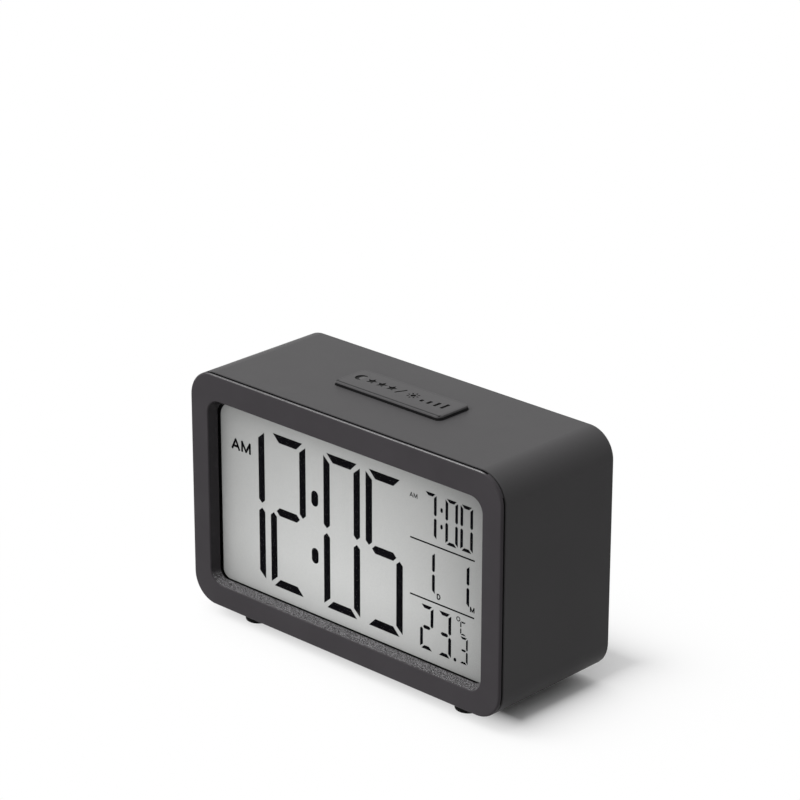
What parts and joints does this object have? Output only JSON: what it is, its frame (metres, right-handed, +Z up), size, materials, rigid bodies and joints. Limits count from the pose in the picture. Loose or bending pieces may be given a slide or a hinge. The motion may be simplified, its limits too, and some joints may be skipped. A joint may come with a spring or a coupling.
{
  "type": "lcd desk clock",
  "caption": "Box-shaped LCD desk clock with a recessed grey display, flat snooze button on top, rear keys and a hinged, latched battery door.",
  "frame": {"origin": "on the resting surface, below the middle of the clock", "axes": "+X to the right seen from the front, +Y to the back, +Z up; the display looks along -Y"},
  "size_m": [0.13, 0.05, 0.0843],
  "materials": {
    "frame_plastic": "fine spark-eroded grain",
    "case_plastic": "fine spark-eroded grain",
    "button_plastic": "fine spark-eroded grain",
    "key_plastic": "satin",
    "foot_rubber": "matt",
    "clear_lens": "clear, polished",
    "seal_rubber": "matt",
    "polariser_film": "satin",
    "display_glass": "polished",
    "diffuser_film": "satin",
    "guide_acrylic": "clear, polished",
    "white_film": "satin",
    "tray_plastic": "satin",
    "circuit_board": "satin solder resist",
    "lamp_plastic": "satin",
    "chip_resin": "gloss",
    "can_metal": "satin",
    "part_ceramic": "satin",
    "socket_plastic": "satin",
    "ribbon_plastic": "satin",
    "screw_steel": "zinc plated",
    "contact_steel": "nickel plated",
    "switch_plastic": "satin",
    "plunger_plastic": "satin",
    "lead_plastic": "satin",
    "sounder_plastic": "satin",
    "sounder_brass": "satin",
    "thermistor_bead": "satin",
    "cell_jacket": "printed film over metal"
  },
  "bodies": {
    "clock": {"front_frame": "frame_plastic", "housing": "case_plastic", "rear_cover": "case_plastic", "feet": "foot_rubber", "lens": "clear_lens", "display_gasket": "seal_rubber", "contact_strip": "seal_rubber", "front_polariser": "polariser_film", "rear_polariser": "polariser_film", "front_glass": "display_glass", "rear_glass": "display_glass", "diffuser": "diffuser_film", "light_guide": "guide_acrylic", "reflector_sheet": "white_film", "display_tray": "tray_plastic", "main_board": "circuit_board", "key_board": "circuit_board", "snooze_board": "circuit_board", "backlight_boards": "circuit_board", "backlight_lamps": "lamp_plastic", "chip_cover": "chip_resin", "crystal": "can_metal", "board_parts": "part_ceramic", "ribbon_sockets": "socket_plastic", "ribbon_cable": "ribbon_plastic", "tray_screws": "screw_steel", "board_screws": "screw_steel", "snooze_screws": "screw_steel", "key_board_screws": "screw_steel", "case_screws": "screw_steel", "contact_plus": "contact_steel", "contact_minus": "contact_steel", "contact_bridge_left": "contact_steel", "contact_bridge_right": "contact_steel", "snooze_switch": "switch_plastic", "key_switches": "switch_plastic", "alarm_switch": "switch_plastic", "snooze_leads": "lead_plastic", "battery_leads": "lead_plastic", "sounder_leads": "lead_plastic", "sounder_case": "sounder_plastic", "sounder_disc": "sounder_brass", "thermistor": "thermistor_bead", "battery_1": "cell_jacket", "battery_2": "cell_jacket", "battery_3": "cell_jacket"},
    "snooze": {"snooze_button": "button_plastic", "snooze_plunger": "plunger_plastic"},
    "alarm_slide": {"alarm_knob": "key_plastic", "alarm_lever": "plunger_plastic"},
    "door": {"battery_door": "case_plastic"},
    "set_press": {"set_key": "key_plastic", "set_plunger": "plunger_plastic"},
    "up_press": {"up_key": "key_plastic", "up_plunger": "plunger_plastic"},
    "down_press": {"down_key": "key_plastic", "down_plunger": "plunger_plastic"},
    "alarm_press": {"alarm_key": "key_plastic", "alarm_plunger": "plunger_plastic"}
  },
  "joints": [
    {"name": "snooze_travel", "type": "slide", "parent": "clock", "child": "snooze", "axis": [0, 0, -1], "range_m": [0, 0.0008], "stiffness_N_per_m": 1800, "springref_m": -0.0002},
    {"name": "set_travel", "type": "slide", "parent": "clock", "child": "set_press", "axis": [0, -1, 0], "range_m": [0, 0.0006], "stiffness_N_per_m": 2400, "springref_m": -0.0002},
    {"name": "up_travel", "type": "slide", "parent": "clock", "child": "up_press", "axis": [0, -1, 0], "range_m": [0, 0.0006], "stiffness_N_per_m": 2400, "springref_m": -0.0002},
    {"name": "down_travel", "type": "slide", "parent": "clock", "child": "down_press", "axis": [0, -1, 0], "range_m": [0, 0.0006], "stiffness_N_per_m": 2400, "springref_m": -0.0002},
    {"name": "alarm_travel", "type": "slide", "parent": "clock", "child": "alarm_press", "axis": [0, -1, 0], "range_m": [0, 0.0006], "stiffness_N_per_m": 2400, "springref_m": -0.0002},
    {"name": "alarm_slide_travel", "type": "slide", "parent": "clock", "child": "alarm_slide", "axis": [1, 0, 0], "range_m": [0, 0.003]},
    {"name": "door_swing", "type": "hinge", "parent": "clock", "child": "door", "pos_m": [0, 0.0228, 0.0116], "axis": [-1, 0, 0], "range_deg": [0, 80]}
  ]
}
